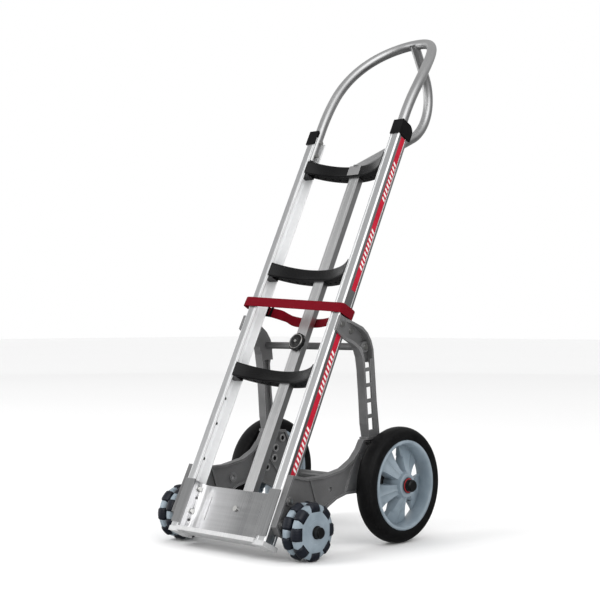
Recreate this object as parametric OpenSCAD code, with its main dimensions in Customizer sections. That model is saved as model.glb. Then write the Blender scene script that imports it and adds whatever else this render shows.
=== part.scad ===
// Self-standing four-wheel hand truck: leaning aluminium rails on two omni wheels in front
// and two large wheels behind, carried by cast arms and struts.
// Right is +X, the front is -Y and up is +Z. The floor is at Z = 0.

/* [Rails] */
// Lean of the rails back from the vertical, in degrees
lean = 26.7; // [15:0.1:35]
// Distance from the middle to the outer face of a rail
rail_outer_x = 142.5; // [120:0.5:180]
// Width of a rail, across the truck
rail_width = 26; // [20:0.5:40]
// Depth of a rail, front to back
rail_depth = 35; // [25:0.5:50]
// Wall of the rail section
rail_wall = 2.8; // [2:0.1:4]
// Where the rails start, measured along the lean from the floor
rail_start = 50; // [30:1:80]
// Where the rails end, measured along the lean
rail_end = 1046; // [900:1:1200]

/* [Handle] */
// Radius of the handle tubes
tube_r = 12; // [9:0.5:16]
// Distance from the middle to a leg of the handle
leg_x = 127; // [110:0.5:150]
// Depth of the legs behind the rails' front face
leg_d = 15.2; // [12:0.1:20]
// Where the arch starts to bend backwards
bend_start = 1078; // [1060:1:1150]
// Radius of the backward bend
bend_radius = 544.5; // [300:1:900]

/* [Crossbars] */
// Top edge of the lower crossbar, along the lean
bar_low_t = 441; // [380:1:500]
// Top edge of the middle crossbar
bar_mid_t = 697; // [600:1:760]
// Top edge of the top crossbar
bar_top_t = 977; // [900:1:1010]
// How far a crossbar bows backwards in its middle
bow = 46; // [20:1:60]
// Height of a crossbar's front band
band_h = 23; // [20:1:50]

/* [Wheels] */
// Radius of a rear wheel
rear_r = 127; // [100:1:160]
// Radius of an omni wheel
omni_r = 60; // [50:1:80]
// Distance between the two axles, front to back
wheelbase = 290.6; // [240:1:400]
// Distance from the middle to the centre of a rear tyre
rear_x = 194; // [180:1:230]
// Distance from the middle to the centre of an omni wheel
omni_x = 188.4; // [180:1:220]
// Largest radius of an omni roller
roller_r = 12; // [9:0.5:16]
// Length of an omni roller
roller_len = 26; // [20:1:34]
// Radius of the pin that a roller turns on
pin_r = 2.5; // [2:0.1:4]

/* [Knob and strap] */
// Height of the knob along the lean
knob_t = 515; // [460:1:560]
// Radius of the knob
knob_r = 20; // [12:0.5:30]
// Width of the strap's webbing
strap_w = 23; // [15:1:40]

/* [Hidden] */
$fn = 64;
e = 0.01;

// Moves the whole truck so that its bounding box is centred front to back
y_shift = -293.525;
// Where the line of the rails' front faces meets the floor
foot_y = -100.9;

rail_inner_x = rail_outer_x - rail_width;
bolt_r = 3;
handle_bolt_t = [1001, 1038];
lug_bolt_drop = [9, 26];
arm_bolt_t = [92, 143];
arm_bolt_d = 18;
omni_pitch = 45;
rows = 12.4;
roller_ring = omni_r - roller_r;
running = 0.05;
axle_r = 10;
front_axle_r = 8;
rim_r = 98.5;

alu = [0.78, 0.79, 0.8];
dark_cast = [0.34, 0.35, 0.36];
black_cast = [0.06, 0.06, 0.065];
hub_grey = [0.5, 0.57, 0.63];
rubber = [0.09, 0.1, 0.14];
red = [0.62, 0.05, 0.08];

// Places things given as [across, depth behind the front face, distance along the lean]
module on_rails() {
    translate([0, foot_y + y_shift, 0])
        rotate([-lean, 0, 0])
            children();
}

// A cylinder along X, from x0 to x1
module rod_x(x0, x1, r) {
    translate([x0, 0, 0])
        rotate([0, 90, 0])
            cylinder(h = x1 - x0, r = r);
}

// A cylinder that runs front to back, from d0 to d1
module rod_d(d0, d1, r) {
    translate([0, d0, 0])
        rotate([-90, 0, 0])
            cylinder(h = d1 - d0, r = r);
}

// A plate in the Y-Z plane from a list of [y, z] points, x0 to x1
module side_plate(points, x0, x1) {
    translate([x0, 0, 0])
        rotate([90, 0, 90])
            linear_extrude(height = x1 - x0)
                polygon(points);
}

function unit(v) = v / norm(v);

// Moves each side of a counter-clockwise outline inwards by w
function inset(p, w) = [
    for (i = [0 : len(p) - 1])
        let (
            a = unit(p[i] - p[(i + len(p) - 1) % len(p)]),
            b = unit(p[(i + 1) % len(p)] - p[i]),
            na = [-a[1], a[0]],
            nb = [-b[1], b[0]],
            m = unit(na + nb)
        )
        p[i] + m * w / max(0.5, m * na)
];

// ---------------------------------------------------------------- rails

module rail(side) {
    color(alu)
    on_rails()
    mirror([side < 0 ? 1 : 0, 0, 0])
    difference() {
        translate([0, 0, rail_start])
            linear_extrude(height = rail_end - rail_start)
                difference() {
                    // the outer corners are eased
                    polygon([
                        [rail_inner_x, 0], [rail_outer_x - 2.6, 0], [rail_outer_x - 0.8, 0.8],
                        [rail_outer_x, 2.6], [rail_outer_x, rail_depth - 1.5],
                        [rail_outer_x - 1.5, rail_depth], [rail_inner_x, rail_depth]
                    ]);
                    translate([rail_inner_x - 1, rail_wall])
                        square([rail_width - rail_wall + 1, rail_depth - 2 * rail_wall]);
                    // the label's recess in the outer face
                    translate([rail_outer_x - 0.8, 7])
                        square([1, rail_depth - 14]);
                    // two grooves in the front face
                    for (x = [rail_inner_x + 1.8, rail_inner_x + 6.4])
                        translate([x, -0.5])
                            square([2.4, 1.4]);
                }
        // spare holes in the web above the nose frame
        for (t = [215, 300, 361])
            translate([0, 26, t])
                rod_x(rail_outer_x - 8, rail_outer_x + 2, 3.5);
        // the nose frame's, the arm's and the strut's bolts
        for (t = arm_bolt_t)
            translate([0, arm_bolt_d, t])
                rod_x(rail_outer_x - 8, rail_outer_x + 2, bolt_r);
        translate([0, strut_bolt[0], strut_bolt[1]])
            rod_x(rail_outer_x - 8, rail_outer_x + 2, bolt_r);
        // countersunk screws that hold the crossbars' lugs
        for (t = [bar_low_t, bar_mid_t, bar_top_t])
            for (drop = lug_bolt_drop)
                translate([0, rail_depth / 2, t - drop]) {
                    rod_x(rail_outer_x - 8, rail_outer_x + 2, bolt_r);
                    rod_x(rail_outer_x - 2.3, rail_outer_x + 2, 5.5);
                }
    }
}

module rail_cap(side) {
    mirror([side < 0 ? 1 : 0, 0, 0])
    difference() {
        translate([rail_inner_x, 0, 0])
            rotate([90, 0, 90])
                linear_extrude(height = rail_width + 2.4)
                    union() {
                        translate([-2.4, 1033])
                            square([30, 31]);
                        translate([-2.4, 1027])
                            square([43, 20]);
                        translate([22.6, 1046])
                            circle(r = 18);
                    }
        // only its outer wall reaches behind the leg
        translate([rail_inner_x - 1, 27, 1000])
            cube([rail_width - 2, 30, 100]);
        // the rail stands in the cap
        translate([rail_inner_x - 2, 0, 1000])
            cube([rail_width + 2, rail_depth, rail_end - 1000]);
        // the handle's leg comes out through its top, and the inner side is open
        translate([leg_x, leg_d, 1000])
            cylinder(h = 100, r = tube_r);
        translate([rail_inner_x - 1, leg_d - tube_r, 1000])
            cube([leg_x - rail_inner_x + 1, 2 * tube_r, 100]);
    }
}

module rail_caps() {
    color([0.03, 0.03, 0.03])
    on_rails() {
        rail_cap(1);
        rail_cap(-1);
    }
}

// ---------------------------------------------------------------- handle

// A point of the arch for u from 0 (right leg) to 180 (left leg), as [x, d, t]
function arch_point(u) =
    let (
        c = cos(u),
        x = leg_x * sign(c) * pow(abs(c), 0.95),
        s = 82.8 + 231 * pow(sin(u), 0.95)
    )
    bent(x, s);

// A point s along the backward bend, as [x, d, t]
function bent(x, s) =
    let (a = s / bend_radius * 180 / PI)
    [x, leg_d + bend_radius * (1 - cos(a)), bend_start + bend_radius * sin(a)];

arch_path = concat(
    [for (s = [0 : 16 : 80]) bent(leg_x, s)],
    [for (u = [3 : 3 : 177]) arch_point(u)],
    [for (s = [80 : -16 : 0]) bent(-leg_x, s)]
);

function path_direction(p, i) = unit(p[min(i + 1, len(p) - 1)] - p[max(i - 1, 0)]);

// A tube swept along a path of [x, d, t] points, as one closed skin. Its ends face the
// directions first and last, and side is never along the path
module swept_tube(p, r, sides, first, last, side) {
    n = len(p);
    ring = [
        for (i = [0 : n - 1])
            let (
                t = i == 0 ? first : i == n - 1 ? last : path_direction(p, i),
                a = unit(cross(t, side)),
                b = cross(t, a)
            )
            for (k = [0 : sides - 1])
                p[i] + r * (cos(360 * k / sides) * a + sin(360 * k / sides) * b)
    ];
    walls = [
        for (i = [0 : n - 2])
            for (k = [0 : sides - 1])
                for (h = [0, 1])
                    let (k2 = (k + 1) % sides)
                    h == 0
                        ? [i * sides + k, (i + 1) * sides + k2, i * sides + k2]
                        : [i * sides + k, (i + 1) * sides + k, (i + 1) * sides + k2]
    ];
    ends = [
        [for (k = [0 : sides - 1]) k],
        [for (k = [sides - 1 : -1 : 0]) (n - 1) * sides + k]
    ];
    polyhedron(points = ring, faces = concat(walls, ends), convexity = 6);
}

module handle_arch() {
    color(alu)
    on_rails() {
        swept_tube(arch_path, tube_r + 0.1, 36, [0, 0, 1], [0, 0, -1], [0, 1, 0]);
        for (s = [-1, 1])
            difference() {
                // each leg runs 2 mm into the bend
                translate([s * leg_x, leg_d, 985])
                    cylinder(h = bend_start - 985 + 2, r = tube_r);
                for (t = handle_bolt_t)
                    translate([0, leg_d, t])
                        rod_x(s * leg_x - 20, s * leg_x + 20, bolt_r);
            }
    }
}

// The loop's bend: its centre, its radius, and the angles where it meets its straight ends
loop_d = 106;
loop_t = 1229;
loop_r = 117;
loop_top = 56;
loop_low = -38.9;
loop_turn = loop_top - loop_low;

function circle_point(a) = [cos(a), sin(a), 0];
function circle_way(a) = [-sin(a), cos(a), 0];

// A straight piece of the loop that starts on the bend at angle a and runs on along it
module loop_run(a, length, up) {
    translate([loop_r * cos(a), loop_r * sin(a), 0])
        rotate([0, 0, a])
            rotate([up ? -90 : 90, 0, 0])
                translate([0, 0, -2])
                    cylinder(h = length + 2, r = tube_r);
}

module handle_loop() {
    color(alu)
    on_rails()
    difference() {
        translate([0, loop_d, loop_t])
            rotate([90, 0, 90])
                union() {
                    swept_tube(
                        [for (i = [0 : 24]) loop_r * circle_point(loop_low + i * loop_turn / 24)],
                        tube_r + 0.1, 36, circle_way(loop_low), circle_way(loop_top), [0, 0, 1]
                    );
                    loop_run(loop_top, 71.5, true);
                    loop_run(loop_low, 245, false);
                }
        // the foot is cut flat on the clip
        translate([-50, 0, bar_top_t + 2.2 - 100])
            cube([100, 200, 100]);
    }
}

module loop_clip() {
    color(alu)
    on_rails() {
        // the leaf on the crossbar's front face
        intersection() {
            translate([0, 0, bar_top_t - 23])
                bow_ring(-2.2, 0, 25.2);
            translate([-17, 0, 0])
                cube([34, 200, 1200]);
        }
        // the leaf under the loop's foot
        translate([-17, bow - 1.5, bar_top_t])
            cube([34, 27, 2.2]);
    }
}

// ---------------------------------------------------------------- crossbars

bow_half = rail_inner_x;
bow_r = (bow_half * bow_half + bow * bow) / (2 * bow);

// A slice of a ring that follows the crossbars' bow, from in to out mm behind the front face
module bow_ring(in, out, h) {
    translate([0, bow - bow_r, 0])
        difference() {
            cylinder(h = h, r = bow_r + out, $fn = 128);
            translate([0, 0, -1])
                cylinder(h = h + 2, r = bow_r + in, $fn = 128);
        }
}

module crossbar(t_top) {
    color(black_cast)
    on_rails()
    translate([0, 0, t_top])
    difference() {
        union() {
            intersection() {
                union() {
                    translate([0, 0, -band_h])
                        bow_ring(0, 4, band_h);
                    translate([0, 0, -band_h - 4])
                        bow_ring(0, 27, 4 + e);
                    translate([0, 0, -4])
                        bow_ring(0, 10, 4);
                }
                translate([-bow_half, 0, -60])
                    cube([2 * bow_half, 200, 60]);
            }
            // lugs that plug into the open rails
            for (s = [-1, 1])
                mirror([s < 0 ? 1 : 0, 0, 0])
                    translate([bow_half - 4, rail_wall, -33])
                        cube([rail_width - rail_wall + 4, rail_depth - 2 * rail_wall, 30.5]);
        }
        // the centre bar passes behind the band
        translate([-15, bow + 4.2, -60])
            cube([30, 16, 70]);
        // lightening holes in the lower flange
        for (a = [-33, -27, -21, -15, -9, 9, 15, 21, 27, 33])
            translate([0, bow - bow_r, 0])
                rotate([0, 0, a])
                    translate([0, bow_r + 15, -band_h - 5])
                        cylinder(h = 10, r = 3.2);
        for (s = [-1, 1])
            for (drop = lug_bolt_drop)
                translate([0, rail_depth / 2, -drop])
                    rod_x(s > 0 ? 118 : -150, s > 0 ? 150 : -118, bolt_r);
        translate([0, 0, -16])
            rod_d(bow + 1, bow + 8, bolt_r);
    }
}

// ---------------------------------------------------------------- centre bar and nose

bar_front = bow + 4.2;
bar_w = 30;
bar_deep = 16;

module centre_bar() {
    color(alu)
    on_rails()
    difference() {
        // it starts just above the front axle
        translate([0, 0, 108.5])
            linear_extrude(height = bar_top_t - 112.5)
                difference() {
                    translate([-bar_w / 2, bar_front])
                        square([bar_w, bar_deep]);
                    translate([-bar_w / 2 + 2.5, bar_front + 2.5])
                        square([bar_w - 5, bar_deep - 5]);
                    for (x = [-9, 7.8])
                        translate([x, bar_front - 0.5])
                            square([1.2, 1.3]);
                }
        translate([0, 0, knob_t])
            rod_d(bar_front - 1, bar_front + bar_deep + 1, 4 + running);
        for (t = [bar_low_t, bar_mid_t, bar_top_t])
            translate([0, 0, t - 16])
                rod_d(bar_front - 1, bar_front + bar_deep + 1, bolt_r);
        translate([0, 0, 115])
            rod_d(bar_front - 1, bar_front + 4, bolt_r);
    }
}

module rounded_u(half, back, r) {
    translate([-half, -20])
        square([2 * half, back + 20 - r]);
    translate([-half + r, back - r - 1])
        square([2 * (half - r), r + 1]);
    for (s = [-1, 1])
        translate([s * (half - r), back - r])
            circle(r = r);
}

module nose_frame() {
    color(dark_cast)
    on_rails()
    difference() {
        union() {
            translate([0, 0, 52])
                linear_extrude(height = 105)
                    difference() {
                        rounded_u(rail_inner_x - 0.1, 36, 24);
                        rounded_u(rail_inner_x - 3.1, 33, 21);
                        translate([-200, -103])
                            square([400, 100]);
                    }
            // flanges over the rails' front faces
            for (s = [-1, 1])
                mirror([s < 0 ? 1 : 0, 0, 0])
                    translate([rail_inner_x - 3.1, -3, 60])
                        cube([rail_width + 3.1, 2.9, 99]);
            // the pad that the centre bar is bolted to
            translate([-17, 35, 74])
                cube([34, bar_front - 35, 76]);
        }
        for (t = [72, 92, 122, 143])
            translate([0, arm_bolt_d, t])
                rod_x(-rail_inner_x - 1, rail_inner_x + 1, bolt_r);
        // flat seats for the nuts on the curved cheeks
        for (t = arm_bolt_t)
            translate([0, arm_bolt_d, t])
                rod_x(-112.4, 112.4, 6.1);
        translate([0, 0, 115])
            rod_d(30, bar_front + 1, bolt_r);
        // the slits where the folded cheeks end
        for (s = [-1, 1])
            translate([s * 82 - 0.6, 30, 80])
                cube([1.2, 8, 54]);
    }
}

module nose_lip() {
    color(alu)
    on_rails() {
        translate([-rail_inner_x, -6, 46])
            cube([2 * rail_inner_x, 52, 5.9]);
        translate([-rail_inner_x, -6, 43])
            cube([2 * rail_inner_x, 6, 3.1]);
        // end ribs under the rails
        for (s = [-1, 1])
            mirror([s < 0 ? 1 : 0, 0, 0])
                translate([rail_inner_x - 4, -2, 40])
                    cube([rail_width + 4, 46, 9.9]);
    }
}

// ---------------------------------------------------------------- rear frame

strut_bolt = [12, 543];

arm_outline = [
    [-62, 72], [-50, 54], [-24, 41], [0, 37], [24, 42], [62, 72], [98, 95], [126, 108],
    [156, 115], [196, 115], [235, 100], [262, 88], [290, 83], [318, 92], [333, 118], [328, 146],
    [310, 185], [286, 228], [214, 228], [201, 208], [180, 188], [146, 171], [86, 161], [34, 161], [-10, 171]
];

strut_outline = [
    [225, 229], [262, 229], [251, 313], [243, 400], [240, 425], [233, 444], [221, 461],
    [204, 474], [184, 485], [150, 500], [134, 469], [158, 450], [180, 439], [195, 426],
    [203, 408], [208, 380], [214, 316], [218, 262]
];
foot_bolt_y = [235.5, 249];
foot_bolt_x = 151.2;

// Places things on the rails from inside the truck's side view
module beside_rails(d, t) {
    translate([0, foot_y + t * sin(lean) + d * cos(lean), t * cos(lean) - d * sin(lean)])
        children();
}

module arm(side) {
    color(dark_cast)
    mirror([side < 0 ? 1 : 0, 0, 0])
    translate([0, y_shift, 0])
    difference() {
        union() {
            side_plate(inset(arm_outline, 2), 148, 152);
            difference() {
                side_plate(arm_outline, 142.6, 158);
                side_plate(inset(arm_outline, 5), 140, 160);
            }
            // bosses for the two axles
            translate([0, 0, omni_r])
                rod_x(142.6, 158, 17);
            translate([0, wheelbase, rear_r])
                rod_x(142.6, 160, 25);
            // a spare boss on the inner side
            translate([0, 112, 130])
                rod_x(142.6, 152, 10);
            for (t = arm_bolt_t)
                beside_rails(arm_bolt_d, t)
                    rod_x(142.6, 158, 9);
            // ribs across the web
            for (p = [[60, 118, 20], [175, 155, -25], [232, 165, 40]])
                translate([142.6, p[0], p[1]])
                    rotate([p[2], 0, 0])
                        translate([0, -2, -42])
                            cube([13, 4, 84]);
        }
        // the ribs stop at the outline
        difference() {
            translate([130, -200, -100])
                cube([40, 700, 500]);
            side_plate(arm_outline, 129, 171);
        }
        translate([0, 0, omni_r])
            rod_x(130, 170, front_axle_r);
        translate([0, wheelbase, rear_r])
            rod_x(130, 170, axle_r);
        translate([0, 112, 130])
            rod_x(130, 170, 5.5);
        for (t = arm_bolt_t)
            beside_rails(arm_bolt_d, t)
                rod_x(130, 170, bolt_r);
        for (y = foot_bolt_y)
            translate([foot_bolt_x, y, 0]) {
                translate([0, 0, 200])
                    cylinder(h = 40, r = bolt_r);
                // room for the nut under the rim
                translate([0, 0, 214])
                    cylinder(h = 9, r = 6.6);
            }
    }
}

module strut(side) {
    color(dark_cast)
    mirror([side < 0 ? 1 : 0, 0, 0])
    translate([0, y_shift, 0])
    difference() {
        union() {
            // the plate beside the rail
            intersection() {
                side_plate(inset(strut_outline, 2), 142.6, 148);
                translate([140, 100, 396])
                    cube([40, 200, 200]);
            }
            // the web on the leg's outer side
            intersection() {
                side_plate(inset(strut_outline, 2), 160, 164.5);
                translate([150, 100, 200])
                    cube([30, 200, 204]);
            }
            difference() {
                side_plate(strut_outline, 142.6, 165);
                side_plate(inset(strut_outline, 5.5), 140, 170);
                // the leg is open towards the back, inside its web
                translate([0, 300, 0])
                    rotate([90, 0, 0])
                        linear_extrude(height = 66)
                            polygon([[140, 240], [155, 240], [155, 385], [141, 430], [140, 430]]);
                // the rims run out towards the rail, where only the plate is left
                translate([0, 0, 400])
                    linear_extrude(height = 120)
                        polygon([[148.5, 100], [148.5, 168], [166, 206], [180, 206], [180, 100]]);
            }
            // the foot on the arm
            translate([142.6, 218, 228.1])
                cube([22.4, 48, 5]);
            // the lug that bears on the rail's back
            beside_rails(44, 543)
                rod_x(134, 146, 8.5);
            translate([0, 222, 430])
                rod_x(142.6, 156, 12);
        }
        // slots through the leg's web
        for (i = [0 : 4])
            let (z = 262 + i * 34)
            translate([156, 231.5 - (z - 262) * 0.085, z])
                rotate([5, 0, 0])
                    translate([0, -9, -13])
                        cube([14, 18, 26]);
        beside_rails(strut_bolt[0], strut_bolt[1])
            rod_x(130, 170, bolt_r);
        beside_rails(44, 543)
            rod_x(130, 170, bolt_r);
        translate([0, 222, 430])
            rod_x(130, 151, 8);
        translate([0, 222, 430])
            rod_x(150, 170, bolt_r);
        for (y = foot_bolt_y)
            translate([foot_bolt_x, y, 220])
                cylinder(h = 20, r = bolt_r);
    }
}

module cross_tube() {
    color(dark_cast)
    translate([0, y_shift + 222, 430])
    difference() {
        rod_x(-151, 151, 8);
        rod_x(-152, 152, 6);
    }
}

// ---------------------------------------------------------------- bolts and axles

// A bolt along X: its shank from x0 to x1, a round head after x1 and a nut before x0
module bolt_x(x0, x1, head, nut) {
    rod_x(x0, x1, bolt_r);
    if (head > 0)
        rod_x(x1, x1 + head, 6);
    if (nut > 0)
        translate([x0 - e, 0, 0])
            rotate([0, 90, 0])
                cylinder(h = nut, r = 5.8, $fn = 6);
}

module frame_bolts() {
    color([0.72, 0.73, 0.75])
    for (s = [-1, 1])
        mirror([s < 0 ? 1 : 0, 0, 0]) {
            on_rails() {
                for (t = handle_bolt_t)
                    translate([0, leg_d, t])
                        bolt_x(110, 139, 0, 4.5);
                for (t = [bar_low_t, bar_mid_t, bar_top_t])
                    for (drop = lug_bolt_drop)
                        translate([0, rail_depth / 2, t - drop]) {
                            rod_x(118, 141.6, bolt_r);
                            rod_x(rail_outer_x - 2.3, rail_outer_x - 0.9, 5.5);
                        }
                for (t = arm_bolt_t)
                    translate([0, arm_bolt_d, t])
                        bolt_x(107.9, 158, 4, 4.5);
                translate([0, strut_bolt[0], strut_bolt[1]])
                    bolt_x(135.1, 148, 4, 4.5);
                translate([0, 44, 543])
                    bolt_x(129.5, 148, 4, 4.5);
            }
            translate([0, y_shift, 0]) {
                for (y = foot_bolt_y)
                    translate([foot_bolt_x, y, 0]) {
                        translate([0, 0, 219.5])
                            cylinder(h = 16, r = bolt_r);
                        translate([0, 0, 234.6])
                            cylinder(h = 4, r = 5.8);
                        translate([0, 0, 218.9])
                            cylinder(h = 4, r = 5.8, $fn = 6);
                    }
                translate([0, 222, 430]) {
                    rod_x(138, 151, 6);
                    rod_x(150, 160, bolt_r);
                    rod_x(156, 160, 6);
                }
            }
        }
    color([0.72, 0.73, 0.75])
    on_rails() {
        translate([0, 0, 115]) {
            rod_d(32, bar_front + 8, bolt_r);
            rod_d(29, 33, 6);
            translate([0, bar_front + 2.5, 0])
                rod_d(0, 5, 5);
        }
        for (t = [bar_low_t, bar_mid_t, bar_top_t])
            translate([0, 0, t - 16]) {
                rod_d(bow + 1, bar_front + bar_deep + 1, bolt_r);
                rod_d(bar_front + bar_deep, bar_front + bar_deep + 3, 6);
            }
    }
}

module axles() {
    color([0.1, 0.1, 0.1]) {
        translate([0, y_shift + wheelbase, rear_r]) {
            rod_x(-225, 225, axle_r);
            for (s = [-1, 1])
                mirror([s < 0 ? 1 : 0, 0, 0]) {
                    rod_x(160, 167.6, 15);
                    rod_x(220.4, 222, 17);
                    rod_x(222, 233, 13);
                    rod_x(233, 236, 11);
                }
        }
        translate([0, y_shift, omni_r]) {
            rod_x(-218, 218, front_axle_r);
            for (s = [-1, 1])
                mirror([s < 0 ? 1 : 0, 0, 0]) {
                    rod_x(158, omni_x - 24.8, 12.5);
                    rod_x(omni_x + 24.8, 215, 13.5);
                    rod_x(215, 224, 11.5);
                    rod_x(224, 226.5, 9.5);
                }
        }
    }
}

// ---------------------------------------------------------------- strap and knob

strap_path = [[-159, -4], [151, -4], [151, 42], [0, 73], [-151, 44], [-159, 20]];

// Places things in the strap's tilted plane, with Z = 0 at the middle of the webbing
module in_strap() {
    on_rails()
        translate([0, 0, 585.5])
            rotate([0, 3.7, 0])
                children();
}

module strap() {
    color(red)
    in_strap()
        translate([0, 0, -strap_w / 2])
            linear_extrude(height = strap_w)
                difference() {
                    polygon(strap_path);
                    polygon(inset(strap_path, 2));
                }
}

module strap_buckle() {
    color(black_cast)
    in_strap()
        translate([-125, 46.9, 0])
            rotate([0, 0, 10.9])
                translate([-13, -7.1, -14])
                    difference() {
                        cube([26, 7, 28]);
                        // the slot that the webbing's tail passes through
                        translate([10, -1, 3])
                            cube([6, 4, 22]);
                    }
}

module knob() {
    color(black_cast)
    on_rails()
        translate([0, 0, knob_t]) {
            difference() {
                rod_d(bar_front - 9, bar_front - 0.4, knob_r + 1.5);
                // finger scallops
                for (a = [0 : 36 : 324])
                    rotate([0, a, 0])
                        translate([knob_r + 4.3, 0, 0])
                            rod_d(bar_front - 10, bar_front, 4);
            }
            rod_d(bar_front - 12, bar_front - 8.9, knob_r - 2.5);
            rod_d(bar_front - 14, bar_front - 11.9, 5);
            rod_d(bar_front - 1, bar_front + bar_deep + 6, 4);
            translate([0, bar_front + bar_deep + 0.5, 0])
                rotate([-90, 0, 0])
                    cylinder(h = 5, r = 8, $fn = 6);
        }
}

// ---------------------------------------------------------------- rear wheels

module tyre(side) {
    color([0.05, 0.05, 0.05])
    translate([side * rear_x, y_shift + wheelbase, rear_r])
    rotate([0, 90, 0])
        rotate_extrude()
            polygon([
                [rim_r, -20], [112, -22], [120, -20], [124.6, -14.5], [126.6, -9], [rear_r, -4],
                [rear_r, 4], [126.6, 9], [124.6, 14.5], [120, 20], [112, 22], [rim_r, 20]
            ]);
}

module hub(side) {
    color(hub_grey)
    translate([side * rear_x, y_shift + wheelbase, rear_r])
    mirror([side < 0 ? 1 : 0, 0, 0])
    rotate([0, 90, 0])
    difference() {
        rotate_extrude()
            polygon([
                [axle_r + running, -26], [24, -26], [28, -8], [88, -5], [88, -20], [rim_r, -20],
                [rim_r, 20], [92, 23], [88, 20], [86, 8], [34, 12], [28, 26], [axle_r + running, 26]
            ]);
        // the windows between the five spokes
        for (i = [0 : 4])
            rotate([0, 0, i * 72 + 36])
                translate([0, 0, -30])
                    linear_extrude(height = 60)
                        polygon([
                            [38, -13], [44, -18], [72, -32], [80, -26], [84, -9],
                            [84, 9], [80, 26], [72, 32], [44, 18], [38, 13]
                        ]);
    }
}

// ---------------------------------------------------------------- omni wheels

// Places a roller's things: the roller's middle, its axis along +Y
module on_ring(side, row, angle) {
    translate([side * (omni_x + row * rows), y_shift, omni_r])
        rotate([angle, 0, 0])
            translate([0, 0, -roller_ring])
                children();
}

function ring_angle(row, i) = (i - 1) * omni_pitch + (row > 0 ? 0 : omni_pitch / 2);

// The room that a roller turns in, open outwards
module pocket() {
    translate([0, -roller_len / 2 - 0.4, 0])
        rotate([-90, 0, 0])
            cylinder(h = roller_len + 0.8, r = roller_r + 0.8);
    translate([-20, -roller_len / 2 - 0.4, -30])
        cube([40, roller_len + 0.8, 30]);
}

module omni_hub(side) {
    color(hub_grey)
    difference() {
        union() {
            for (row = [-1, 1]) {
                difference() {
                    translate([side * (omni_x + row * rows), y_shift, omni_r])
                        rotate([0, 90, 0])
                            rotate_extrude()
                                polygon([
                                    [20, -11.4], [36, -11.4], [50, -9.4], [56, -5],
                                    [56, 5], [50, 9.4], [36, 11.4], [20, 11.4]
                                ]);
                    for (i = [1 : 8])
                        on_ring(side, row, ring_angle(row, i))
                            pocket();
                }
                for (i = [1 : 8])
                    on_ring(side, row, ring_angle(row, i))
                        rotate([-90, 0, 0])
                            translate([0, 0, -roller_len / 2 - 2.4])
                                cylinder(h = roller_len + 4.8, r = pin_r);
            }
            translate([side * omni_x, y_shift, omni_r])
                rod_x(-24.4, 24.4, 24);
        }
        translate([side * omni_x, y_shift, omni_r])
            rod_x(-30, 30, front_axle_r + running);
    }
}

// Radius of a roller at distance s from its middle, so that it follows the wheel's circle
function barrel(s) = sqrt(omni_r * omni_r - s * s) - roller_ring;

module roller(side, row, i) {
    color(rubber)
    on_ring(side, row, ring_angle(row, i))
        rotate([-90, 0, 0])
            rotate_extrude($fn = 32)
                polygon(concat(
                    [[pin_r + running, -roller_len / 2]],
                    [for (s = [-roller_len / 2 : 2 : roller_len / 2]) [barrel(s), s]],
                    [[pin_r + running, roller_len / 2]]
                ));
}

// ---------------------------------------------------------------- the truck

rail(-1);  // rail_left
rail(1);  // rail_right
rail_caps();
handle_arch();
handle_loop();
loop_clip();
crossbar(bar_top_t);  // crossbar_top
crossbar(bar_mid_t);  // crossbar_middle
crossbar(bar_low_t);  // crossbar_lower
centre_bar();
nose_frame();
nose_lip();
strut(-1);  // strut_left
strut(1);  // strut_right
arm(-1);  // arm_left
arm(1);  // arm_right
cross_tube();
frame_bolts();
axles();
strap();
strap_buckle();
knob();
tyre(-1);  // tyre_left
hub(-1);  // hub_left
tyre(1);  // tyre_right
hub(1);  // hub_right
omni_hub(-1);  // omni_hub_left
omni_hub(1);  // omni_hub_right
roller(-1, 1, 1);  // roller_l_out_1
roller(-1, 1, 2);  // roller_l_out_2
roller(-1, 1, 3);  // roller_l_out_3
roller(-1, 1, 4);  // roller_l_out_4
roller(-1, 1, 5);  // roller_l_out_5
roller(-1, 1, 6);  // roller_l_out_6
roller(-1, 1, 7);  // roller_l_out_7
roller(-1, 1, 8);  // roller_l_out_8
roller(-1, -1, 1);  // roller_l_in_1
roller(-1, -1, 2);  // roller_l_in_2
roller(-1, -1, 3);  // roller_l_in_3
roller(-1, -1, 4);  // roller_l_in_4
roller(-1, -1, 5);  // roller_l_in_5
roller(-1, -1, 6);  // roller_l_in_6
roller(-1, -1, 7);  // roller_l_in_7
roller(-1, -1, 8);  // roller_l_in_8
roller(1, 1, 1);  // roller_r_out_1
roller(1, 1, 2);  // roller_r_out_2
roller(1, 1, 3);  // roller_r_out_3
roller(1, 1, 4);  // roller_r_out_4
roller(1, 1, 5);  // roller_r_out_5
roller(1, 1, 6);  // roller_r_out_6
roller(1, 1, 7);  // roller_r_out_7
roller(1, 1, 8);  // roller_r_out_8
roller(1, -1, 1);  // roller_r_in_1
roller(1, -1, 2);  // roller_r_in_2
roller(1, -1, 3);  // roller_r_in_3
roller(1, -1, 4);  // roller_r_in_4
roller(1, -1, 5);  // roller_r_in_5
roller(1, -1, 6);  // roller_r_in_6
roller(1, -1, 7);  // roller_r_in_7
roller(1, -1, 8);  // roller_r_in_8
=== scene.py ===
"""Looks for the self-standing four-wheel hand truck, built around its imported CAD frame.

Lengths in the builders below are in millimetres: rail() and truck() turn them into metres.
"""

import math

import bmesh
import bpy
from mathutils import Matrix, Vector, noise


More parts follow.
